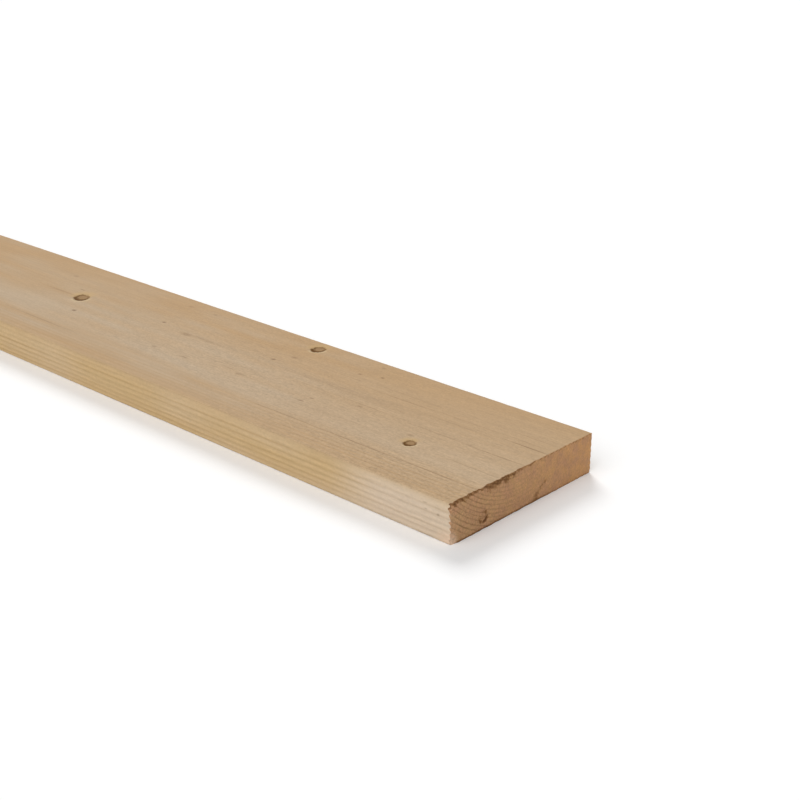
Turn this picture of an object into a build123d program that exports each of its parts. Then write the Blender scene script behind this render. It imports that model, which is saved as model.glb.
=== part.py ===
from build123d import *
import os

# A sawn softwood plank lying flat, in millimetres.
# The origin is under its middle: +X runs along the grain to the near end, +Y across the width
# from the front edge to the back edge, and +Z up through the thickness.

# Stock size, as sold
plank_length = 1800.0
plank_width = 125.0
plank_thickness = 25.0

# The edging saws ran a little out of square, so both long edges lean in towards the underside
edge_lean = 1.0

# The upper front arris is rubbed round, and the other three have only lost their splinters
worn_arris = 1.5
sawn_arris = 0.7

# The cut at the near end is longest at its lower back corner: it falls short across the width
# and through the thickness, and the far end is square
cut_skew = 0.5
cut_bevel = 0.5

# Knots in the upper face, which dry out below it and leave shallow dishes. Each is placed by its
# setback from the near end and its inset from the front edge
knot_depth = 0.6
near_knot_setback = 69.0
near_knot_inset = 42.5
near_knot_width = 9.0
middle_knot_setback = 217.0
middle_knot_inset = 112.5
middle_knot_width = 9.5
far_knot_setback = 432.0
far_knot_inset = 70.5
far_knot_width = 11.0

half_length = plank_length / 2
half_width = plank_width / 2

knots = (
    (near_knot_setback, near_knot_inset, near_knot_width),
    (middle_knot_setback, middle_knot_inset, middle_knot_width),
    (far_knot_setback, far_knot_inset, far_knot_width),
)

# The near cut stands on the longest corner and tips back by the skew and the bevel
longest_corner = (half_length, half_width - edge_lean, 0)
cut_direction = (1, -cut_skew / plank_width, cut_bevel / plank_thickness)
near_cut = Plane(origin=longest_corner, z_dir=cut_direction)

with BuildPart() as plank:
    with BuildSketch(Plane.YZ.offset(-half_length)) as section:
        with BuildLine():
            Polyline(
                (-half_width, plank_thickness),
                (half_width, plank_thickness),
                (half_width - edge_lean, 0),
                (edge_lean - half_width, 0),
                close=True,
            )
        make_face()
        lower_corners = section.vertices().group_by(Axis.Y)[0]
        fillet(lower_corners, radius=sawn_arris)
        upper_back_corner = section.vertices().group_by(Axis.Y)[-1].sort_by(Axis.X)[-1]
        fillet(upper_back_corner, radius=sawn_arris)
        upper_front_corner = section.vertices().group_by(Axis.Y)[-1].sort_by(Axis.X)[0]
        fillet(upper_front_corner, radius=worn_arris)
    extrude(amount=plank_length)
    split(bisect_by=near_cut, keep=Keep.BOTTOM)

    # A dish is the cap of a ball that meets the face in a circle as wide as the knot
    for setback, inset, width in knots:
        ball_radius = (width**2 / 4 + knot_depth**2) / (2 * knot_depth)
        ball_height = plank_thickness - knot_depth + ball_radius
        with Locations((half_length - setback, inset - half_width, ball_height)):
            Sphere(ball_radius, mode=Mode.SUBTRACT)

plank.part.label = "plank"
os.makedirs("parts", exist_ok=True)
export_step(plank.part, "parts/plank.step")
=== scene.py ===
import bpy
import math
import numpy as np
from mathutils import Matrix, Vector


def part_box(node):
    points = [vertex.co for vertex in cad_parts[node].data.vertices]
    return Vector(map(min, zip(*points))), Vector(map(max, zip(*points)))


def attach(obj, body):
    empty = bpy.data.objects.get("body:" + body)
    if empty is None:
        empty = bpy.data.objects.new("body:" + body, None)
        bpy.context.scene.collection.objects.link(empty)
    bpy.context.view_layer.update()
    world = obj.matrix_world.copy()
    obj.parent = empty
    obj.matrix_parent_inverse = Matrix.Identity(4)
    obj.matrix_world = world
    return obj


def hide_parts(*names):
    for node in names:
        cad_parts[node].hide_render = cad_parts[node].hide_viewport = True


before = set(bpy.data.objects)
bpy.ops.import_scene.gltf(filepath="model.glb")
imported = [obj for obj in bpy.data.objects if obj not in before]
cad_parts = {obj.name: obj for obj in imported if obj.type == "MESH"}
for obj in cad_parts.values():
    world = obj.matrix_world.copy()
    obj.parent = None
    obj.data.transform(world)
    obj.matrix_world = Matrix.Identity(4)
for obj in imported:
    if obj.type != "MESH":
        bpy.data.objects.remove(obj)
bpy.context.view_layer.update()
mm = 0.001  # sizes below are in mm, and Blender works in metres
print("frame loaded")


def linear(hexColour):  # sRGB hex to the linear colour that a shader takes
    shares = [int(hexColour[i:i + 2], 16) / 255 for i in (1, 3, 5)]
    return [c / 12.92 if c <= 0.04045 else ((c + 0.055) / 1.055) ** 2.4 for c in shares] + [1]


def addNode(tree, kind, inputs=None, out=0, stops=None, **settings):  # gives one output, or the node itself
    made = tree.nodes.new("ShaderNode" + kind)
    for name, value in settings.items():
        setattr(made, name, value)
    for socket, value in (inputs or {}).items():
        if isinstance(value, bpy.types.NodeSocket):
            tree.links.new(value, made.inputs[socket])
        else:
            made.inputs[socket].default_value = value
    if stops:
        ramp = made.color_ramp.elements
        while len(ramp) < len(stops):
            ramp.new(0)
        for element, (place, level) in zip(ramp, stops):
            element.position = place
            element.color = (level, level, level, 1)
    return made if out is None else made.outputs[out]


def wander(points, cell, seed):  # smooth noise from -1 to 1 that changes over cell
    tableSize = 32
    table = np.random.default_rng(seed).uniform(-1, 1, (tableSize, tableSize, tableSize))
    place = np.asarray(points, float) / np.asarray(cell, float)
    low = np.floor(place).astype(int)
    blend = place - low
    blend = blend * blend * (3 - 2 * blend)
    total = 0
    for corner in np.ndindex(2, 2, 2):
        weight = np.where(corner, blend, 1 - blend).prod(1)
        total = total + weight * table[tuple(((low + corner) % tableSize).T)]
    return total


endless = math.inf  # noise whose cell is endless one way doesn't change that way


def graph(places, knees):  # the height of a line through its knees, each a place and a level
    return np.interp(places, *zip(*knees))


def hill(away, width, power=2):  # 1 in the middle, and falls off smoothly over the width
    return np.exp(-(away / width) ** power)


# The plank. Its section and its near cut are the CAD solid's own, and all relief goes into the wood
plank = {
    "name": "sawnPlank",
    "edgeLean": 1.0,            # each long edge leans in by this at the underside
    "wornArris": 1.5,           # upper front, rubbed round
    "sawnArris": 0.7,
    "cutSkew": 0.5,             # by how much the near cut falls short at the front, then at the top
    "cutBevel": 0.5,
    "cellsAcross": 108,         # of the end grid
    "cellsUp": 40,
    "crowding": 1.35,           # cells are narrowest at the front edge, where most shows
    "arcCells": 4,
    "longStep": 14.0,           # between rings of points where nothing happens
    "endStep": 0.55,            # at both ends, and how fast it widens from there and from a knot
    "nearWidening": 0.12,
    "farWidening": 0.2,
    "knotWidening": 0.45,
    "knotZone": 0.75,           # in knot lengths each way, where the knot's own step holds
    "faceSharpness": 4,         # how soon a rounded arris stops counting as part of a face
    "arrisFacing": [(0.75, 1), (1, 0)],     # share of an arris, by how squarely a point faces one way
    "rubDepth": 0.9,            # more wood rubbed off the worn arris
    "rubReach": 3.6,
    "grainDepth": 0.08,         # soft spring wood sinks below the hard summer wood
    "edgeGrainDepth": 0.18,
    "waveDepth": 0.25,          # slow waves that the saw leaves along the faces
    "waveCell": (140, 45, 45),
    "underWave": 0.2,           # share of them that the underside has
    "nickDepth": 0.6,           # splinters gone from the arrises: cell, and how much stays whole
    "nicks": [((7, 9, 9), 0.4), ((2.4, 3, 3), 0.35)],
}

# Knots: from the near end, in from the front edge, then the size and how the longer way is turned, in
# degrees from the grain. The dead ones have dried below the face and take the closest rings of points
knots = [
    {"setback": 67.7, "inset": 42.6, "length": 8.7, "width": 8.0, "turn": 53, "depth": 0.6, "step": 1.1},
    {"setback": 216.9, "inset": 113.2, "length": 11.8, "width": 9.8, "turn": 124, "depth": 0.6, "step": 1.1},
    {"setback": 428.6, "inset": 70.4, "length": 15.6, "width": 11.8, "turn": 141, "depth": 0.6, "step": 1.1},
    {"setback": 668, "inset": 31, "length": 8.5, "width": 7.5, "turn": 60, "depth": 0.1, "step": 2.4},
    {"setback": 893, "inset": 88, "length": 11.0, "width": 10.0, "turn": 20, "depth": 0.2, "step": 2.4},
    {"setback": 1127, "inset": 55, "length": 9.0, "width": 8.0, "turn": 130, "depth": 0.1, "step": 2.4},
    {"setback": 1371, "inset": 102, "length": 12.0, "width": 10.0, "turn": 95, "depth": 0.2, "step": 2.4},
    {"setback": 1588, "inset": 38, "length": 9.0, "width": 8.0, "turn": 70, "depth": 0.1, "step": 2.4},
]

nodeLow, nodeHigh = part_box("plank")
nearX = nodeHigh.x / mm
plankLength = (nodeHigh.x - nodeLow.x) / mm
plankThickness = (nodeHigh.z - nodeLow.z) / mm
halfWidth = (nodeHigh.y - nodeLow.y) / mm / 2
across, up = plank["cellsAcross"], plank["cellsUp"]


def roundCorner(before, corner, after, radius, cells):  # points of an arc that is tangent to both sides
    toBefore = (before - corner) / np.linalg.norm(before - corner)
    toAfter = (after - corner) / np.linalg.norm(after - corner)
    middle = (toBefore + toAfter) / np.linalg.norm(toBefore + toAfter)
    half = math.acos(float(toBefore @ toAfter)) / 2
    centre = corner + middle * radius / math.sin(half)
    start = corner + toBefore * radius / math.tan(half) - centre
    end = corner + toAfter * radius / math.tan(half) - centre
    turn = math.atan2(start[0] * end[1] - start[1] * end[0], float(start @ end))
    angles = np.linspace(0, turn, cells + 1)
    spin = np.array([[np.cos(angles), -np.sin(angles)], [np.sin(angles), np.cos(angles)]])
    return centre + np.einsum("abn,b->na", spin, start)


def sectionLoop():  # underside, back, top and front, each from the middle of one arris to the next
    lean, top = plank["edgeLean"], plankThickness
    corners = np.array([[lean - halfWidth, 0], [halfWidth - lean, 0], [halfWidth, top], [-halfWidth, top]])
    radii = [plank["sawnArris"]] * 3 + [plank["wornArris"]]
    arcs = [
        roundCorner(corners[i - 1], corners[i], corners[(i + 1) % 4], radii[i], plank["arcCells"])
        for i in range(4)
    ]
    middle = plank["arcCells"] // 2
    sides = []
    for i, cells in enumerate([across, up] * 2):
        first, last = arcs[i][-1], arcs[(i + 1) % 4][0]
        share = np.linspace(0, 1, cells - 2 * middle + 1)
        if i == 0:
            share = share ** plank["crowding"]
        if i == 2:
            share = 1 - (1 - share) ** plank["crowding"]
        straight = first + (last - first) * share[1:-1, None]
        sides.append(np.vstack([arcs[i][middle:], straight, arcs[(i + 1) % 4][:middle]]))
    return np.vstack(sides)


def ringPlaces():  # how far back from the near end each ring of points lies
    places = [0.0]
    while places[-1] < plankLength:
        back = places[-1]
        toFar = plankLength - back
        step = plank["endStep"] + min(plank["nearWidening"] * back, plank["farWidening"] * toFar)
        for knot in knots:
            away = abs(knot["setback"] - back) - plank["knotZone"] * knot["length"]
            step = min(step, max(knot["step"], plank["knotWidening"] * away))
        places.append(back + min(step, plank["longStep"]))
    return np.array(places) * plankLength / places[-1]


def fillEnd(rim):  # the inside of an end grid, blended from the four sides of its rim
    closed = np.vstack([rim, rim[:1]])
    under, back = closed[:across + 1], closed[across:across + up + 1]
    top, front = closed[across + up:2 * across + up + 1][::-1], closed[2 * across + up:][::-1]
    u = np.linspace(0, 1, across + 1)[:, None, None]
    v = np.linspace(0, 1, up + 1)[None, :, None]
    grid = (1 - v) * under[:, None] + v * top[:, None] + (1 - u) * front[None] + u * back[None]
    grid -= (1 - u) * (1 - v) * under[0] + u * (1 - v) * under[-1] + (1 - u) * v * top[0] + u * v * top[-1]
    return grid[1:-1, 1:-1].reshape(-1, 2)


loop = sectionLoop()
places = ringPlaces()
around = len(loop)
inside = fillEnd(loop)

# Every point as setback, across and up: the rings, then the near end's inside, then the far end's
ringCount = len(places) * around
setback = np.concatenate([
    np.repeat(places, around), np.zeros(len(inside)), np.full(len(inside), plankLength)])
outline = np.vstack([np.tile(loop, (len(places), 1)), inside, inside])
spot = np.column_stack([setback, outline])
acrossAt, upAt = outline.T
inset = acrossAt + halfWidth
fromTop = plankThickness - upAt
fromFront = np.clip(inset, 0, None)

ahead, behind = np.roll(loop, -1, 0), np.roll(loop, 1, 0)
facing = np.column_stack([(ahead - behind)[:, 1], -(ahead - behind)[:, 0]])
facing /= np.linalg.norm(facing, axis=1)[:, None]
facing = np.vstack([np.tile(facing, (len(places), 1)), np.zeros((2 * len(inside), 2))])
onSide = np.arange(len(spot)) < ringCount
onNear = setback == 0
onFar = setback == plankLength
facingBack, facingTop = facing.T
topShare, underShare, frontShare, backShare = (
    np.clip(squareness, 0, 1) ** plank["faceSharpness"]
    for squareness in (facingTop, -facingTop, -facingBack, facingBack)
)
print("plank laid out:", len(places), "rings of", around, "points")

# The log that it was sawn from. The pith ran above the upper face, and each radius is a year's end
log = {
    "pithAcross": -5.0,
    "pithUp": 78.0,
    "pithDrift": 3.0,
    "driftFrom": 600.0,         # from here on the pith drifts fully
    "driftAcrossCell": (420, endless, endless),
    "driftUpCell": (350, endless, endless),
    "taper": 0.0045,            # mm that the pith comes nearer for each mm of length
    "innerRing": 2.2,           # width of the years inside the first radius
    "radii": [53.2, 55.4, 57.2, 58.9, 61.2, 63.7, 65.8, 68.1, 70.5, 73.0, 75.2, 77.3, 79.6, 82.3, 85.1,
              87.9, 90.5, 93.0, 95.6, 98.2, 100.6, 103.2],
    "wobble": 0.6,              # of the rings, then the finer ripple's share of it
    "wobbleCell": (160, 22, 22),
    "ripple": 0.4,
    "rippleCell": (60, 7, 7),
    "wobbleBack": [(0, 0.35), (60, 0.45), (250, 1)],    # how much of both, from the near end
    "softest": 0.4,             # of the way through a year
}

# What all knots share. Distances from a knot are in its own radii
branches = {
    "rise": 0.3,                # mm along the log for each mm out from the pith
    "thinnest": 0.4,            # of its width at the upper face
    "thickest": 1.6,
    "farthest": 6.0,            # what counts as far from every knot
    "sideFade": 2.4,            # how far out the wood still tells the knot's sides apart
    "heart": 0.3,               # of the width, where it no longer does
    "tail": (-0.68, 0.73),      # the way that the stained wood trails off, along and aside
    "swell": 0.6,               # how far the rings bend round it, then over which length and width
    "swellLength": 2.8,
    "swellWidth": 1.15,
    "groove": 0.6,              # bark gone from its rim, of the depth in the middle
    "grooveAt": 0.9,
    "grooveWidth": 0.18,
}

# How far each point lies from its nearest knot, in knot radii, and on which side of it. A knot is a
# branch: it starts at the pith, widens outward and shows wherever a face cuts it
knotGap = np.full(len(spot), branches["farthest"])
knotLean = np.zeros(len(spot))
knotTail = np.zeros(len(spot))
swell = np.zeros(len(spot))
dish = np.zeros(len(spot))
for knot in knots:
    face = np.array([knot["setback"], knot["inset"] - halfWidth, plankThickness])
    pith = np.array([knot["setback"], log["pithAcross"], log["pithUp"]])
    pith[0] += branches["rise"] * np.linalg.norm(face - pith)
    reach = np.linalg.norm(face - pith)
    branch = (face - pith) / reach
    sideways = np.cross(branch, [1.0, 0, 0])
    sideways /= np.linalg.norm(sideways)
    lengthwise = np.cross(sideways, branch)
    out = (spot - pith) @ branch
    beside = spot - pith - out[:, None] * branch
    growth = np.clip(out / reach, branches["thinnest"], branches["thickest"]) / 2
    # A slanting branch is narrower than the mark that it leaves on the face
    along = -beside @ lengthwise / (growth * lengthwise[0])
    aside = beside @ sideways / (growth * sideways[1])
    turn = math.radians(knot["turn"])
    gap = np.hypot((along * math.cos(turn) + aside * math.sin(turn)) / knot["length"],
                   (aside * math.cos(turn) - along * math.sin(turn)) / knot["width"])
    fade = hill(gap, branches["sideFade"])
    fade /= np.maximum(np.hypot(along, aside), branches["heart"] * knot["width"])
    tailAlong, tailAside = branches["tail"]
    nearest = gap < knotGap
    knotLean = np.where(nearest, -aside * fade, knotLean)
    knotTail = np.where(nearest, (tailAside * aside + tailAlong * along) * fade, knotTail)
    knotGap = np.minimum(gap, knotGap)
    size = 0.5 * (knot["length"] + knot["width"])
    bend = np.hypot(along / branches["swellLength"], aside) / size / branches["swellWidth"]
    swell += branches["swell"] * size * growth * np.exp(-0.5 * bend ** 2)
    groove = branches["groove"] * hill(gap - branches["grooveAt"], branches["grooveWidth"])
    dish += knot["depth"] * (np.clip(1 - gap ** 2, 0, 1) + groove) * topShare

# Growth rings round a pith that wanders along the log. At each whole number a year ends
drifted = np.clip(setback / log["driftFrom"], 0, 1)
pithAcross = log["pithAcross"] + log["pithDrift"] * wander(spot, log["driftAcrossCell"], 3) * drifted
pithUp = log["pithUp"] - log["taper"] * setback + wander(spot, log["driftUpCell"], 4) * drifted
radius = np.hypot(acrossAt - pithAcross, upAt - pithUp) - swell
wobble = wander(spot, log["wobbleCell"], 5) + log["ripple"] * wander(spot, log["rippleCell"], 6)
radius += log["wobble"] * wobble * graph(setback, log["wobbleBack"])
inner = np.arange(log["radii"][0] - log["innerRing"], 0, -log["innerRing"])[::-1]
years = np.concatenate([inner, log["radii"]])
ring = np.interp(radius, years, np.arange(len(years)))
softness = 0.5 + 0.5 * np.cos(2 * np.pi * (ring - log["softest"]))

# Relief of the long faces
sink = (topShare + underShare) * plank["grainDepth"] * softness
sink += (frontShare + backShare) * plank["edgeGrainDepth"] * softness
wave = plank["waveDepth"] * (0.5 + 0.5 * wander(spot, plank["waveCell"], 8))
sink += wave * (1 - (1 - plank["underWave"]) * underShare) + dish
sink += plank["rubDepth"] * hill(np.hypot(inset, fromTop), plank["rubReach"])
arris = graph(np.max(np.abs(facing), axis=1), plank["arrisFacing"])
nick = 0
for seed, (cell, whole) in enumerate(plank["nicks"], 9):
    nick = nick + np.clip(wander(spot, cell, seed) - whole, 0, 1)
sink += plank["nickDepth"] * nick * arris

# The near cut. Places on it are across from the middle of the width and up from the underside. A mean is
# what stays where the noise is 0, and a swing is what the noise adds or takes
nearCut = {
    "reach": 9.0,               # how far from a cut the skin gives way to its relief
    "sawDepth": 0.22,           # what the saw leaves, on the far cut too
    "sawMean": 0.5,
    "sawSwings": [((9, 5, 5), 0.5), ((9, 1.6, 1.6), 0.3)],
    "sawSoft": 0.6,             # more of it where the wood is soft
    "sawMost": 2,
    "tearDepth": 1.0,           # fibres torn out along the top: share of that depth, and how far down
    "tornAcross": [(-62, 1.2), (-56, 1.1), (-48, 1), (-18, 0.95), (0, 0.85), (10, 0.75), (24, 0.5),
                   (36, 0.25), (62, 0.1)],
    "tornDown": [(-62, 5.5), (-56, 4.2), (-46, 4), (-39, 2.4), (-31, 4.6), (-18, 4.2), (-6, 2.4),
                 (15, 2.2), (62, 2)],
    "tearMean": 0.6,
    "tearSwings": [((endless, 3.1, endless), 0.45), ((endless, 1.3, 3.25), 0.55)],
    "tearMost": 1.2,
    "tearShortest": 0.3,        # of how far down the deepest go
    "fringeDepth": 1.9,         # teeth of fibre along the front edge
    "fringeReach": 2.2,
    "fringePower": 1.5,
    "fringeHard": 0.2,          # share that is left of them in the hard wood
    "fringeMean": 0.7,
    "fringeSwing": 0.5,
    "fringeCell": (endless, 8.5, 1.7),
    "pitDepth": 0.6,            # a broken oval, deepest towards its lower back
    "pitMiddle": (-35.2, 7.2),
    "pitSize": (3.3, 3.0),
    "pitWall": 0.36,            # of its size
    "pitLean": [(-1.75, 0.4), (1.25, 1)],
    "pitMean": 0.9,
    "pitSwing": 0.9,
    "pitCell": (endless, 1.5, 1.5),
    "crackDepth": 0.4,          # then where it starts, how far it runs and its width at both ends
    "crackStart": (10.5, 3.1),
    "crackRun": (8.7, 6.2),
    "crackWidths": (2.4, 1.5),
    "mouth": 0.3,               # how much more it gapes near its start
    "mouthMiddle": (10.6, 3.7),
    "mouthSize": (2.0, 1.3),
    "crackMean": 0.95,
    "crackSwing": 0.3,
    "crackCell": (endless, 2.0, 2.0),
    "chipDepth": 1.1,           # splinter gone from the lower front corner
    "chipInset": 1.0,
    "chipAcross": 6.0,
    "chipUp": 9.0,
    "lowerRub": 0.1,            # its lower arris is broken
    "lowerReach": 1.0,
}

# Its relief: fibres torn out under the top, teeth at the front edge, a pit, a crack, a chip and saw marks
tornAcross = graph(acrossAt, nearCut["tornAcross"])
tornDown = graph(acrossAt, nearCut["tornDown"])
tear = nearCut["tearMean"]
for seed, (cell, swing) in enumerate(nearCut["tearSwings"], 11):
    tear = tear + swing * wander(spot, cell, seed)
tear = np.clip(tear, 0, nearCut["tearMost"]) * tornAcross
shortest = nearCut["tearShortest"]
tear *= np.clip(1 - fromTop / (tornDown * (shortest + (1 - shortest) * tear)), 0, 1)
hard = nearCut["fringeHard"]
fringe = hill(fromFront, nearCut["fringeReach"], nearCut["fringePower"])
fringe *= hard + (1 - hard) * softness ** 2
fringe *= nearCut["fringeMean"] + nearCut["fringeSwing"] * wander(spot, nearCut["fringeCell"], 15)
pitAcross, pitUp = ((outline - nearCut["pitMiddle"]) / nearCut["pitSize"]).T
pit = hill(np.hypot(pitAcross, pitUp) - 1, nearCut["pitWall"])
pit *= graph(pitAcross - pitUp, nearCut["pitLean"])
pit *= nearCut["pitMean"] + nearCut["pitSwing"] * wander(spot, nearCut["pitCell"], 19)
fromStart = outline - nearCut["crackStart"]
crackRun = np.array(nearCut["crackRun"])
crackAlong = np.clip(fromStart @ crackRun / (crackRun @ crackRun), 0, 1)
crackGap = np.linalg.norm(fromStart - crackAlong[:, None] * crackRun, axis=1)
crack = hill(crackGap, graph(crackAlong, list(enumerate(nearCut["crackWidths"]))))
crack += nearCut["mouth"] * hill(outline - nearCut["mouthMiddle"], nearCut["mouthSize"]).prod(1)
crack *= nearCut["crackMean"] + nearCut["crackSwing"] * wander(spot, nearCut["crackCell"], 21)
fromCorner = np.hypot((inset - nearCut["chipInset"]) / nearCut["chipAcross"], upAt / nearCut["chipUp"])
chip = np.clip(1 - fromCorner, 0, 1)
sawMarks = nearCut["sawMean"] + nearCut["sawSoft"] * softness
for seed, (cell, swing) in enumerate(nearCut["sawSwings"], 13):
    sawMarks += swing * wander(spot, cell, seed)
cutBack = nearCut["sawDepth"] * np.clip(sawMarks, 0, nearCut["sawMost"])
nearBack = cutBack + nearCut["tearDepth"] * tear + nearCut["fringeDepth"] * fringe
nearBack += nearCut["chipDepth"] * chip + nearCut["pitDepth"] * pit + nearCut["crackDepth"] * crack
nearBack += nearCut["lowerRub"] * hill(upAt, nearCut["lowerReach"])

endShort = plank["cutSkew"] * (0.5 - acrossAt / (2 * halfWidth)) + plank["cutBevel"] * upAt / plankThickness
x = nearX - setback - endShort * (1 - setback / plankLength)
x -= nearBack * np.clip(1 - setback / nearCut["reach"], 0, 1)
x += cutBack * np.clip(1 - (plankLength - setback) / nearCut["reach"], 0, 1)
moved = outline - facing * sink[:, None]
moved[ringCount:] = np.vstack([fillEnd(moved[:around]), fillEnd(moved[ringCount - around:ringCount])])
points = np.column_stack([x, moved]) * mm

# Faces: the skin between the rings of points, then the two ends
index = np.arange(ringCount).reshape(len(places), around)
nextIndex = np.roll(index, -1, 1)
skin = np.stack([index[1:], nextIndex[1:], nextIndex[:-1], index[:-1]], -1).reshape(-1, 4)


def endFaces(firstRim, firstInside):
    grid = np.zeros((across + 1, up + 1), int)
    rim = firstRim + np.arange(around)
    grid[:-1, 0] = rim[:across]
    grid[-1, :-1] = rim[across:across + up]
    grid[1:, -1] = rim[across + up:2 * across + up][::-1]
    grid[0, 1:] = rim[2 * across + up:][::-1]
    grid[1:-1, 1:-1] = firstInside + np.arange(len(inside)).reshape(across - 1, up - 1)
    return np.stack([grid[:-1, :-1], grid[1:, :-1], grid[1:, 1:], grid[:-1, 1:]], -1).reshape(-1, 4)


nearFaces = endFaces(0, ringCount)
farFaces = endFaces(ringCount - around, ringCount + len(inside))[:, ::-1]
faces = np.vstack([skin, nearFaces, farFaces])
endFace = np.arange(len(faces)) >= len(skin)

mesh = bpy.data.meshes.new(plank["name"])
mesh.from_pydata(points.tolist(), [], faces.tolist())
mesh.polygons.foreach_set("use_smooth", np.ones(len(faces), bool))

# The cuts meet the skin in sharp edges
ends = np.zeros(2 * len(mesh.edges), int)
mesh.edges.foreach_get("vertices", ends)
onRim = (onNear | onFar) & onSide
sharp = onRim[ends.reshape(-1, 2)].all(1)
mesh.attributes.new("sharp_edge", "BOOLEAN", "EDGE").data.foreach_set("value", sharp)

# Unwrapped for baking, in shares of the sheet: the skin in two strips, each half of the length, and the two
# ends side by side above them
unwrapping = {
    "stripLows": (0.005, 0.455),
    "stripHeight": 0.44,
    "endCorner": (0.01, 0.905),
    "endSize": (0.47, 0.09),
    "farEndAside": 0.5,
}
girth = np.concatenate([[0], np.cumsum(np.linalg.norm(ahead - loop, axis=1))])
girth /= girth[-1]
girthCorners = np.stack([girth[:-1], girth[1:], girth[1:], girth[:-1]], -1)
halfway = int(np.searchsorted(places, plankLength / 2))
unwrap = np.zeros((len(faces), 4, 2))
for (first, last), low in zip(((0, halfway), (halfway, len(places) - 1)), unwrapping["stripLows"]):
    strip = np.zeros((last - first, around, 4, 2))
    lengthShare = (places[first:last + 1] - places[first]) / (places[last] - places[first])
    strip[..., 0] = np.stack([lengthShare[1:]] * 2 + [lengthShare[:-1]] * 2, -1)[:, None]
    strip[..., 1] = low + unwrapping["stripHeight"] * girthCorners[None]
    unwrap[first * around:last * around] = strip.reshape(-1, 4, 2)
endShare = (outline - [-halfWidth, 0]) / [2 * halfWidth, plankThickness]
unwrap[len(skin):] = unwrapping["endCorner"] + endShare[faces[len(skin):]] * unwrapping["endSize"]
unwrap[len(skin) + len(nearFaces):, :, 0] += unwrapping["farEndAside"]
mesh.uv_layers.new(name="OFBake").data.foreach_set("uv", unwrap.ravel())

# How the wood looks from place to place. A list named Inset runs in from the front edge, Back from the near
# end, Up from the underside and Across from the middle of the width
shades = {
    # Broad tone of the long faces, from yellow at 0 to grey at 1, with large patches, small ones and a
    # yellower stretch behind the third knot
    "toneInset": [(0, 0.25), (9, 0.3), (17, 0.42), (25, 0.48), (33, 0.8), (49, 0.74), (57, 0.56),
                  (73, 0.42), (81, 0.28), (97, 0.22), (113, 0.06), (125, -0.1)],
    "toneBack": [(0, 0), (140, 0), (280, 0.08), (700, 0.05)],
    "patch": 0.25,
    "patchCell": (120, 20, 20),
    "patchBack": [(0, 0.5), (500, 0.7), (700, 1.4)],
    "smallPatch": 0.4,
    "smallPatchCell": (45, 7, 7),
    "smallPatchBack": [(100, 0.1), (240, 1)],
    "yellowing": 0.3,
    "yellowInset": 66,
    "yellowWidth": 14,
    "yellowBack": [(430, 0), (480, 1), (640, 1), (760, 0)],
    # Long edges, and the pale fur that the saw raised on them. The fur thins away from the near end, so the
    # front edge turns warmer and darker further back: partly the wood's own tone, partly painted shade and a
    # painted warm reflection
    "edgeUp": [(17.5, 1), (19, 0.85), (21, 0.8), (22, 0.7), (23, 0.5), (24, 0.35), (25, 0.5)],
    "furBack": [(0, 1), (30, 1), (55, 0.85), (70, 0.6), (92, 0.15), (200, 0.1)],
    "furPatch": 0.2,
    "furCell": (45, 9, 9),
    "furBehind": 0.2,
    # Fresh wood where the near cut split: the chip, the tips of the teeth, and the front edge beside them
    "splitChip": 1.4,
    "splitTips": 0.7,
    "tipReach": 1.4,
    "tipSoftness": [(0.125, 1), (0.75, 0)],     # less in soft wood
    "splitEdge": 0.8,
    "splitEdgeSize": (11, 8),
    "splitEdgeFade": [(0.2, 1), (1.2, 0)],
    # Darker wood of the near cut: the torn band, where torn fibres are darkened partly as painted shade in
    # their ragged hollows, the pit, the crack and bruises, a painted contact shadow along the bottom, and a
    # darker lower front corner. The torn band has two layers, each with its strength, where it fades out and
    # its depth, and it is darker in hard wood
    "bandMean": 0.85,
    "bandSwing": 0.5,
    "bandCell": 2.4,
    "bandLayers": [(0.5, 1.6, 1.0), (0.55, 1.7, 0.6)],
    "bandSoftness": [(0, 1.15), (1, 0.65)],
    "bandLeast": 0.55,
    "pit": 0.75,
    "crack": 0.65,
    "bruise": 0.45,
    "bruises": [((-35, 7), (5.0, 4.0), 1.0), ((-14, 20), (13, 6), 0.7)],    # middle, size and strength
    # Painted contact shadow along the bottom of the near cut: how far up it reaches, and its strength across
    "paintedShadeUp": 1.4,
    "paintedShadeAcross": [(-62, 1.2), (10, 1.2), (30, 0.8), (62, 0.6)],
    "tip": 0.5,
    "tipSize": 2.4,
    "mostDamageAndShade": 1.2,
    # How strong the fuzz is: near the front edge, then in the middle, and less towards the back
    "frontFuzzBack": [(0, 1.5), (60, 1.45), (250, 0.45), (450, 0.45)],
    "middleFuzzBack": [(0, 1.05), (60, 1.0), (250, 1.25), (450, 0.55)],
    "frontFuzzInset": [(24, 1), (34, 0)],
    "fuzzInset": [(60, 1), (100, 0.65)],
    "edgeFuzz": 0.5,
    "endFuzzAcross": [(-62, 1.5), (0, 1.4), (62, 0.8)],
    # How strongly the rings show
    "topFigureInset": [(2, 0.1), (4, 0.44), (16, 0.4), (23, 0.25), (30, 0.07), (60, 0.07), (72, 0.12),
                       (90, 0.1), (125, 0.05)],
    "topFigureBack": [(0, 1.1), (100, 0.85), (200, 0.6), (450, 0.7), (700, 2.2)],
    "frontFigureBack": [(0, 0.44), (60, 0.44), (90, 0.48)],
    "frontFigureUp": [(19, 1), (21.7, 0.1)],
    "backFigure": 0.5,
    "underFigure": 0.3,
    "nearFigureAcross": [(-62, 0.78), (-40, 0.72), (-25, 0.55), (-12, 0.34), (0, 0.2), (15, 0.1),
                         (62, 0.05)],
    "farFigure": 0.75,
}

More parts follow.
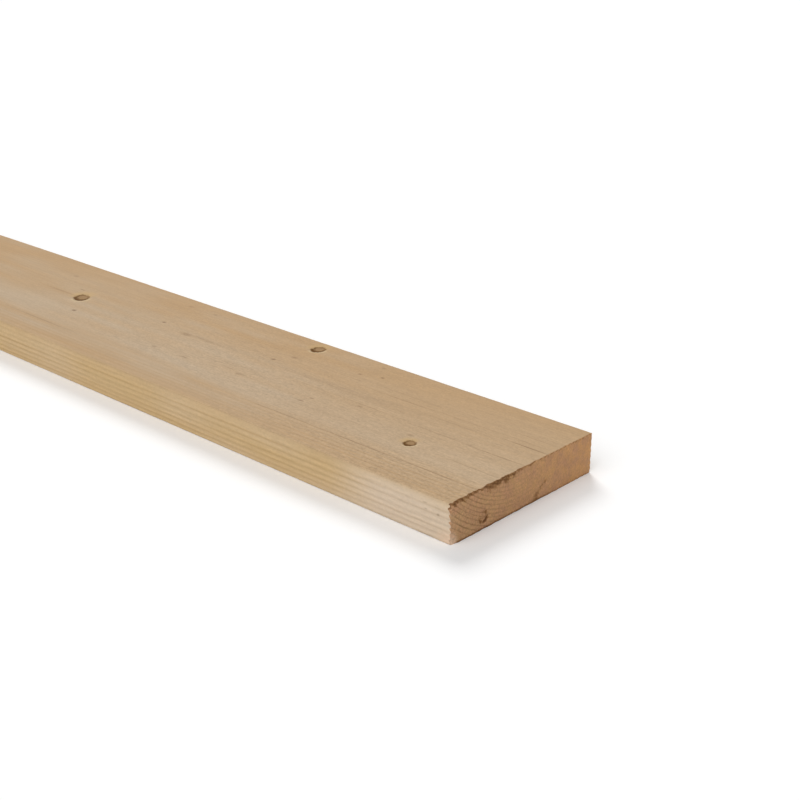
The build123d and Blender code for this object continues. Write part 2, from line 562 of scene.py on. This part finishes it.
tone = graph(inset, shades["toneInset"]) + graph(setback, shades["toneBack"])
patch = wander(spot, shades["patchCell"], 16) * graph(setback, shades["patchBack"])
smallPatch = wander(spot, shades["smallPatchCell"], 20) * graph(setback, shades["smallPatchBack"])
tone += shades["patch"] * patch + shades["smallPatch"] * smallPatch
yellowed = hill(inset - shades["yellowInset"], shades["yellowWidth"])
tone -= shades["yellowing"] * yellowed * graph(setback, shades["yellowBack"])

belowArris = graph(upAt, shades["edgeUp"]) * np.clip(-facingBack, 0, 1)
edge = belowArris + backShare
fur = graph(setback, shades["furBack"]) + shades["furPatch"] * wander(spot, shades["furCell"], 17)
fur = np.clip(fur * belowArris + shades["furBehind"] * backShare, 0, 1)

tips = hill(fromFront, shades["tipReach"], 1) * graph(softness, shades["tipSoftness"])
split = np.clip(shades["splitChip"] * chip + shades["splitTips"] * tips, 0, 1) * onNear
splitLength, splitHeight = shades["splitEdgeSize"]
splitEdge = graph(np.hypot(setback / splitLength, upAt / splitHeight), shades["splitEdgeFade"])
split += shades["splitEdge"] * splitEdge * frontShare * ~onNear

# The torn band under the top of the near cut: torn fibres, darkened partly as painted shade in their ragged
# hollows
bandDown = tornDown * (shades["bandMean"] + shades["bandSwing"] * wander(spot, shades["bandCell"], 18))
band = 0
for strength, fadeOut, depth in shades["bandLayers"]:
    band = band + strength * np.clip(fadeOut - fromTop / (depth * bandDown), 0, 1)
band *= np.maximum(tornAcross, shades["bandLeast"]) * graph(softness, shades["bandSoftness"])
bruise = 0
for middle, size, strength in shades["bruises"]:
    bruise = bruise + strength * hill(outline - middle, size).prod(1)
# Painted contact shadow: darker along the bottom of the near cut, where it meets the floor
paintedContactShade = hill(upAt, shades["paintedShadeUp"]) * graph(acrossAt, shades["paintedShadeAcross"])
# Damage of the near cut, with painted shade in part of the torn band and a painted contact shadow along the
# bottom
damageAndShade = band + shades["pit"] * pit + shades["bruise"] * bruise + shades["crack"] * crack + paintedContactShade
tip = shades["tip"] * hill(np.hypot(inset - nearCut["chipInset"], upAt), shades["tipSize"])
damageAndShade = np.clip(damageAndShade * (1 - split) + tip, 0, shades["mostDamageAndShade"]) * onNear

frontFuzz = graph(inset, shades["frontFuzzInset"])
fuzz = graph(setback, shades["frontFuzzBack"]) * frontFuzz
fuzz += graph(setback, shades["middleFuzzBack"]) * (1 - frontFuzz)
fuzz *= graph(inset, shades["fuzzInset"])
fuzz = fuzz * (1 - frontShare - backShare) + shades["edgeFuzz"] * (frontShare + backShare)
fuzz = np.where(onNear | onFar, graph(acrossAt, shades["endFuzzAcross"]), fuzz)

topFigure = graph(inset, shades["topFigureInset"]) * graph(setback, shades["topFigureBack"])
frontFigure = graph(setback, shades["frontFigureBack"]) * graph(upAt, shades["frontFigureUp"])
sideFigure = topShare * topFigure + frontShare * frontFigure
sideFigure += backShare * shades["backFigure"] + underShare * shades["underFigure"]
endFigure = np.where(onFar, shades["farFigure"], graph(acrossAt, shades["nearFigureAcross"]))
figure = np.where(endFace, endFigure[faces].mean(1), sideFigure[faces].mean(1))

# What the wood's material reads at each point, and on each face
pointValues = {
    "ring": ring, "tone": tone, "edge": edge, "fur": fur, "split": split, "damageAndShade": damageAndShade, "fuzz": fuzz,
    "knotGap": knotGap, "knotLean": knotLean, "knotTail": knotTail,
}
faceValues = {"endGrain": endFace, "figure": figure}
for domain, group in (("POINT", pointValues), ("FACE", faceValues)):
    for name, values in group.items():
        mesh.attributes.new(name, "FLOAT", domain).data.foreach_set("value", values.astype(np.float32))

mesh.update()
piece = bpy.data.objects.new(plank["name"], mesh)
bpy.context.scene.collection.objects.link(piece)
print("plank built:", 2 * len(faces), "triangles,", "mended" if mesh.validate() else "sound")


# Spruce, sawn and left unplaned: pale tan with thin darker summer-wood lines, matt and a little furry,
# darker and warmer on the cut ends, where the open fibres swallow light
spruce = {
    "name": "sawnSpruce",
    "yellow": "#b79873",        # broad tones of the long faces
    "grey": "#baa489",
    "edge": "#d4b689",          # long edges, sawn across the rings
    "fur": "#e1ccb4",
    "summer": "#9c7848",
    "cut": "#cda479",           # ends, from the front to the back
    "cutBack": "#dca772",
    "cutPink": "#cb9b77",
    "cutSummer": "#866039",
    "freshSplit": "#f0cfb2",
    "rustyAndShaded": "#8d6238",
    "tornAndShaded": "#5a3b1f",
    "knotHeart": "#9a7b56",
    "knotRim": "#60401a",
    "knotHalo": "#c4a473",
    "knotEdge": "#d0bb94",
    "speck": "#5b3d1e",
    # Noise drawn out along the grain: length, width and detail. Real fibres are far finer, so these
    # are drawn as coarse as they need to show
    "patterns": {
        "fibre": (9.0, 1.3, 3.0),
        "felt": (1.8, 1.2, 3.0),
        "streak": (70.0, 5.0, 3.0),
        "shake": (90.0, 4.0, 2.0),
        "ragged": (2.4, 2.0, 2.0),
        "fray": (2.0, 1.0, 2.0),
        "blotch": (40.0, 7.0, 2.0),
    },
    "patternRoughness": 0.6,
    # How dark a year is from its first wood to its last
    "yearLine": [(0.0, 0.5), (0.15, 0.12), (0.38, 0.0), (0.62, 0.35), (0.86, 1.0), (1.0, 0.5)],
    # What each range starts from and ends at, and what it gives there
    "ranges": {
        "yearShake": (0.0, 1.0, -0.15, 0.15),
        "yearStrength": (0.0, 1.0, 0.7, 1.0),
        "broken": (0.35, 0.62, 0.4, 1.1),
        "blotch": (0.35, 0.65, 0.0, 0.85),
        "fibre": (0.25, 0.75, -0.1, 0.1),
        "felt": (0.25, 0.75, -0.12, 0.12),
        "streak": (0.25, 0.75, 0.95, 1.05),
        "ragged": (0.0, 1.0, -0.25, 0.25),
        "behindKnot": (0.0, 0.5, 0.0, 1.0),
        "beforeKnot": (-0.1, -0.5, 0.0, 1.0),
        "halo": (1.0, 2.2, 0.75, 0.0),
        "pale": (1.1, 1.5, 0.7, 0.0),
        "inKnot": (1.1, 0.85, 0.0, 1.0),
        "rim": (0.4, 0.8, 0.0, 1.0),
        "mark": (1.15, 0.25, 0.0, 1.0),
        "fray": (0.25, 0.75, -0.32, 0.32),
        "rustyAndShaded": (0.35, 0.75, 0.0, 0.7),
        "tornAndShaded": (0.75, 1.2, 0.0, 0.66),
        "roughness": (0.25, 0.75, 0.71, 0.85),
    },
    "rimLean": 0.3,             # the dark rim of dead bark is wider towards the front by this share of a knot radius, as painted shade on the front wall of the knot's dish
    "markWander": 1.0,          # each way
    "markDepth": 8.0,
    # Marks in the upper face: from the near end, from the front edge, length, width and strength.
    # Pin knots and resin flecks first, then the darker summer wood that shows as long streaks
    "topMarks": [
        (148.9, 104.7, 3.2, 2.8, 0.6),
        (164.2, 99.6, 4.0, 2.4, 0.4),
        (160.0, 117.5, 5.0, 2.6, 0.25),
        (157.5, 50.6, 4.4, 2.2, 0.45),
        (160.3, 43.7, 6.0, 2.2, 0.4),
        (217.6, 92.0, 6.0, 4.4, 0.3),
        (225.4, 80.3, 4.6, 3.2, 0.5),
        (338.0, 77.4, 4.0, 2.6, 0.6),
        (407.8, 49.4, 5.0, 3.6, 0.6),
        (306.0, 72.0, 15.0, 4.6, 0.3),
        (221.0, 47.0, 10.0, 4.0, 0.2),
        (233.0, 50.0, 12.0, 1.4, 0.3),
        (272.0, 42.6, 10.0, 1.6, 0.3),
        (303.0, 42.0, 5.0, 2.6, 0.25),
        (477.0, 99.0, 7.0, 4.0, 0.2),
        (324.0, 113.0, 6.0, 3.0, 0.2),
        (351.0, 113.0, 7.0, 3.0, 0.2),
        (444.0, 82.0, 8.0, 1.8, 0.4),
        (75.5, 50.6, 6.0, 3.0, 0.3),
        (126.7, 61.4, 5.0, 1.8, 0.35),
        (28.0, 22.2, 90.0, 1.2, 0.34),
        (88.0, 22.0, 90.0, 1.2, 0.3),
        (150.0, 21.9, 76.0, 1.2, 0.28),
        (172.0, 21.6, 24.0, 1.2, 0.3),
        (20.0, 62.5, 60.0, 1.1, 0.3),
        (66.0, 63.4, 70.0, 1.1, 0.24),
        (118.0, 64.7, 80.0, 1.2, 0.18),
        (175.0, 64.8, 70.0, 1.2, 0.12),
        (20.0, 41.3, 46.0, 1.2, 0.2),
        (112.0, 41.6, 60.0, 1.2, 0.12),
        (14.0, 83.1, 36.0, 1.3, 0.46),
        (20.0, 88.2, 44.0, 1.4, 0.16),
        (65.0, 87.8, 60.0, 1.4, 0.2),
        (115.0, 86.6, 60.0, 1.6, 0.18),
        (20.0, 95.0, 44.0, 1.2, 0.18),
        (112.0, 93.8, 60.0, 1.4, 0.14),
        (168.0, 91.8, 50.0, 1.4, 0.1),
        (145.0, 74.5, 140.0, 7.0, 0.12),
        (152.0, 75.6, 80.0, 2.2, 0.16),
        (70.0, 80.2, 70.0, 2.6, 0.12),
        (415.0, 22.0, 100.0, 2.4, 0.2),
        (290.0, 73.0, 52.0, 3.6, 0.15),
        (455.0, 70.0, 44.0, 2.6, 0.2),
    ],
    # And in the front edge: from the near end, up from the underside
    "edgeMarks": [
        (9.8, 15.4, 2.6, 1.8, 0.36),
        (18.5, 16.0, 2.6, 1.0, 0.3),
        (19.0, 19.6, 4.0, 1.0, 0.25),
    ],
    "ior": 1.5,
    "specular": 0.08,           # loose open fibres scatter nearly all the light
    "bumpHeight": 0.3,          # from the lowest fibre to the highest
    "bumpStrength": 0.8,
    "lineHeight": 0.5,          # how far the hard lines stand up beside the fibres
}


def sawnSpruce():
    material = bpy.data.materials.new(spruce["name"])
    material.use_nodes = True
    tree = material.node_tree
    tree.nodes.clear()
    place = addNode(tree, "TexCoord", out=3)
    at = {}
    for name in [*pointValues, *faceValues]:
        at[name] = addNode(tree, "Attribute", attribute_name=name, out=2)
    noise = {}
    for name, (length, width, detail) in spruce["patterns"].items():
        scale = (1 / (length * mm), 1 / (width * mm), 1 / (width * mm))
        drawn = addNode(tree, "VectorMath", {0: place, 1: scale}, operation="MULTIPLY")
        noise[name] = addNode(tree, "TexNoise", {
            "Vector": drawn, "Scale": 1.0, "Detail": detail, "Roughness": spruce["patternRoughness"]})
    colours = {name: linear(value) for name, value in spruce.items() if str(value).startswith("#")}
    ranges = {name: dict(zip((1, 2, 3, 4), ends)) for name, ends in spruce["ranges"].items()}
    mixed = {"out": 2, "data_type": "RGBA"}

    # Each year: spring wood darkens into a thin summer line, then stops short
    shake = addNode(tree, "MapRange", {0: noise["shake"], **ranges["yearShake"]})
    year = addNode(tree, "Math", {0: at["ring"], 1: shake}, operation="ADD")
    yearNumber = addNode(tree, "Math", {0: year}, operation="FLOOR")
    yearShare = addNode(tree, "Math", {0: year}, operation="FRACT")
    yearTone = addNode(tree, "TexWhiteNoise", {"W": yearNumber}, noise_dimensions="1D")
    yearStrength = addNode(tree, "MapRange", {0: yearTone, **ranges["yearStrength"]})
    line = addNode(tree, "ValToRGB", {0: yearShare}, stops=spruce["yearLine"])
    thinner = addNode(tree, "Math", {0: at["endGrain"], 1: 1.0}, operation="ADD")  # on the ends
    line = addNode(tree, "Math", {0: line, 1: thinner}, operation="POWER")
    broken = addNode(tree, "MapRange", {0: noise["streak"], **ranges["broken"]})
    for strength in (yearStrength, broken, at["figure"]):
        line = addNode(tree, "Math", {0: line, 1: strength}, operation="MULTIPLY")

    # Long faces, then the cut ends
    wood = addNode(tree, "Mix", {0: at["tone"], 6: colours["yellow"], 7: colours["grey"]}, **mixed)
    for share, colour in ((at["edge"], "edge"), (at["fur"], "fur"), (line, "summer")):
        wood = addNode(tree, "Mix", {0: share, 6: wood, 7: colours[colour]}, **mixed)
    placeAcross = addNode(tree, "SeparateXYZ", {0: place}, out=1)
    towardsBack = addNode(tree, "MapRange", {0: placeAcross, 1: -halfWidth * mm, 2: halfWidth * mm})
    blotch = addNode(tree, "MapRange", {0: noise["blotch"], **ranges["blotch"]})
    cut = colours["cut"]
    for share, colour in ((towardsBack, "cutBack"), (blotch, "cutPink"), (line, "cutSummer")):
        cut = addNode(tree, "Mix", {0: share, 6: cut, 7: colours[colour]}, **mixed)
    wood = addNode(tree, "Mix", {0: at["endGrain"], 6: wood, 7: cut}, **mixed)
    wood = addNode(tree, "Mix", {0: at["split"], 6: wood, 7: colours["freshSplit"]}, **mixed)

    # Fibres and fuzz catch and lose the light
    fibre = addNode(tree, "MapRange", {0: noise["fibre"], **ranges["fibre"]})
    felt = addNode(tree, "MapRange", {0: noise["felt"], **ranges["felt"]})
    streak = addNode(tree, "MapRange", {0: noise["streak"], **ranges["streak"]})
    fleck = addNode(tree, "Math", {0: fibre, 1: felt}, operation="ADD")
    fleck = addNode(tree, "Math", {0: fleck, 1: at["fuzz"], 2: streak}, operation="MULTIPLY_ADD")
    wood = addNode(tree, "VectorMath", {0: wood, "Scale": fleck}, operation="SCALE")

    # A knot: brown heart and a dark rim of dead bark round it, widened towards the front as painted shade on
    # the front wall of its dish, stained wood behind it and a pale collar before it
    ragged = addNode(tree, "MapRange", {0: noise["ragged"], **ranges["ragged"]})
    gap = addNode(tree, "Math", {0: at["knotGap"], 1: ragged}, operation="ADD")
    for side, band, colour in (("behindKnot", "halo", "knotHalo"), ("beforeKnot", "pale", "knotEdge")):
        onThatSide = addNode(tree, "MapRange", {0: at["knotTail"], **ranges[side]})
        share = addNode(tree, "MapRange", {0: gap, **ranges[band]})
        share = addNode(tree, "Math", {0: share, 1: onThatSide}, operation="MULTIPLY")
        wood = addNode(tree, "Mix", {0: share, 6: wood, 7: colours[colour]}, **mixed)
    lean = spruce["rimLean"]
    toRim = addNode(tree, "Math", {0: at["knotLean"], 1: lean, 2: gap}, operation="MULTIPLY_ADD")
    rim =addNode(tree, "MapRange", {0: toRim, **ranges["rim"]})
    knot = addNode(tree, "Mix", {0: rim, 6: colours["knotHeart"], 7: colours["knotRim"]}, **mixed)
    inKnot = addNode(tree, "MapRange", {0: gap, **ranges["inKnot"]})
    wood = addNode(tree, "Mix", {0: inKnot, 6: wood, 7: knot}, **mixed)

    # Marks, which wander a little with the grain
    sideways = spruce["markWander"] * mm
    sideways = addNode(tree, "MapRange", {0: noise["shake"], 3: -sideways, 4: sideways})
    sideways = addNode(tree, "CombineXYZ", {1: sideways, 2: sideways})
    bent = addNode(tree, "VectorMath", {0: place, 1: sideways}, operation="ADD")
    deep = spruce["markDepth"]
    marks = [((back, inward, plankThickness), (length, width, deep), strength)
             for back, inward, length, width, strength in spruce["topMarks"]]
    marks += [((back, 0, height), (length, deep, width), strength)
              for back, height, length, width, strength in spruce["edgeMarks"]]
    dark = 0.0
    for (back, inward, height), sizes, strength in marks:
        middle = ((nearX - back) * mm, (inward - halfWidth) * mm, height * mm)
        away = addNode(tree, "VectorMath", {0: bent, 1: middle}, operation="SUBTRACT")
        scale = [2 / (size * mm) for size in sizes]
        away = addNode(tree, "VectorMath", {0: away, 1: scale}, operation="MULTIPLY")
        away = addNode(tree, "VectorMath", {0: away}, out=1, operation="LENGTH")
        away = addNode(tree, "Math", {0: away, 1: ragged}, operation="ADD")
        mark = addNode(tree, "MapRange", {0: away, **ranges["mark"], 4: strength})
        dark = addNode(tree, "Math", {0: dark, 1: mark}, operation="MAXIMUM")
    wood = addNode(tree, "Mix", {0: dark, 6: wood, 7: colours["speck"]}, **mixed)

    # Darker wood of the near cut: torn and crushed fibres, darkened partly as painted shade, and a painted
    # contact shadow along the bottom, rust-brown round the edges of each
    fray = addNode(tree, "MapRange", {0: noise["fray"], **ranges["fray"]})
    wornAndShaded = addNode(tree, "Math", {0: at["damageAndShade"], 1: fray}, operation="ADD")
    for name in ("rustyAndShaded", "tornAndShaded"):
        share = addNode(tree, "MapRange", {0: wornAndShaded, **ranges[name]})
        wood = addNode(tree, "Mix", {0: share, 6: wood, 7: colours[name]}, **mixed)

    relief = addNode(tree, "Math", {0: noise["fibre"], 1: noise["felt"]}, operation="ADD")
    relief = addNode(tree, "Math", {0: line, 1: spruce["lineHeight"], 2: relief}, operation="MULTIPLY_ADD")
    bump = addNode(tree, "Bump", {
        "Height": relief, "Distance": spruce["bumpHeight"] * mm, "Strength": spruce["bumpStrength"]})
    roughness = addNode(tree, "MapRange", {0: noise["fibre"], **ranges["roughness"]})
    shader = addNode(tree, "BsdfPrincipled", {
        "Base Color": wood, "Roughness": roughness, "IOR": spruce["ior"],
        "Specular IOR Level": spruce["specular"], "Normal": bump})
    addNode(tree, "OutputMaterial", {"Surface": shader}, out=None)
    return material


mesh.materials.append(sawnSpruce())
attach(piece, "root")
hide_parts("plank")
print("plank dressed in", spruce["name"])

# Studio: white paper that keeps the shadow, a bright sky all round, and two broad soft suns. The one behind
# the plank lays its shadow towards the camera
studio = {
    "floorSize": 60.0,          # m
    "white": "#ffffff",
    "floorBounce": "#e0e0de",
    "skyLevel": 0.28,
    # What each sun adds on a level face, where it stands and how wide it is, in degrees
    "suns": [
        {"name": "frontSun", "level": 0.41, "stands": (0.12, -0.66, 0.74), "angle": 60.0},
        {"name": "backSun", "level": 0.33, "stands": (-0.605, 0.475, 0.64), "angle": 25.0},
    ],
}
white = linear(studio["white"])


def whitePaper():  # matt seamless paper: white to the camera, a little greyer in the light it sends back
    material = bpy.data.materials.new("whitePaper")
    material.use_nodes = True
    tree = material.node_tree
    tree.nodes.clear()
    seen = addNode(tree, "LightPath")
    bounce = linear(studio["floorBounce"])
    colour = addNode(tree, "Mix", {0: seen, 6: bounce, 7: white}, out=2, data_type="RGBA")
    shader = addNode(tree, "BsdfDiffuse", {"Color": colour})
    addNode(tree, "OutputMaterial", {"Surface": shader}, out=None)
    return material


half = studio["floorSize"] / 2
floorCorners = [(-half, -half, 0), (half, -half, 0), (half, half, 0), (-half, half, 0)]
paper = bpy.data.meshes.new("paperFloor")
paper.from_pydata(floorCorners, [], [(0, 1, 2, 3)])
paper.materials.append(whitePaper())
floor = bpy.data.objects.new("paperFloor", paper)
bpy.context.scene.collection.objects.link(floor)

world = bpy.data.worlds.new("softSky")
bpy.context.scene.world = world
world.use_nodes = True
tree = world.node_tree
tree.nodes.clear()
ray = addNode(tree, "LightPath", out=None).outputs
seen = addNode(tree, "Math", {0: ray["Is Camera Ray"], 1: ray["Is Glossy Ray"]}, operation="MAXIMUM")
seen = addNode(tree, "Math", {0: seen, 1: ray["Is Transmission Ray"]}, operation="MAXIMUM")
level = addNode(tree, "MapRange", {0: seen, 3: studio["skyLevel"], 4: 1.0})
sky = addNode(tree, "Background", {"Color": white, "Strength": level})
addNode(tree, "OutputWorld", {"Surface": sky}, out=None)

for sun in studio["suns"]:
    direction = np.array(sun["stands"]) / np.linalg.norm(sun["stands"])
    lamp = bpy.data.lights.new(sun["name"], "SUN")
    lamp.energy = sun["level"] * math.pi / direction[2]
    lamp.angle = math.radians(sun["angle"])
    stand = bpy.data.objects.new(sun["name"], lamp)
    stand.rotation_euler = (math.acos(direction[2]), 0, math.atan2(direction[0], -direction[1]))
    bpy.context.scene.collection.objects.link(stand)
print("studio lit")

# Camera, worked out from the plank's corners and edges in the photograph
shot = {
    "place": (1302.32, -534.44, 339.21),
    "turn": 42.91,              # degrees round from looking along +Y
    "tilt": 22.44,              # degrees down
    "focalPixels": 1344.0,
    "pictureWidth": 800.0,      # pixels
    "sensorWidth": 36.0,
    "farthest": 100.0,          # m
}
cameraData = bpy.data.cameras.new("shot")
cameraData.sensor_width = shot["sensorWidth"]
cameraData.lens = shot["sensorWidth"] * shot["focalPixels"] / shot["pictureWidth"]
cameraData.clip_end = shot["farthest"]
camera = bpy.data.objects.new("shot", cameraData)
camera.location = [value * mm for value in shot["place"]]
camera.rotation_euler = (math.radians(90 - shot["tilt"]), 0, math.radians(shot["turn"]))
bpy.context.scene.collection.objects.link(camera)
bpy.context.scene.camera = camera
bpy.context.scene.view_settings.view_transform = "Standard"
print("camera set")
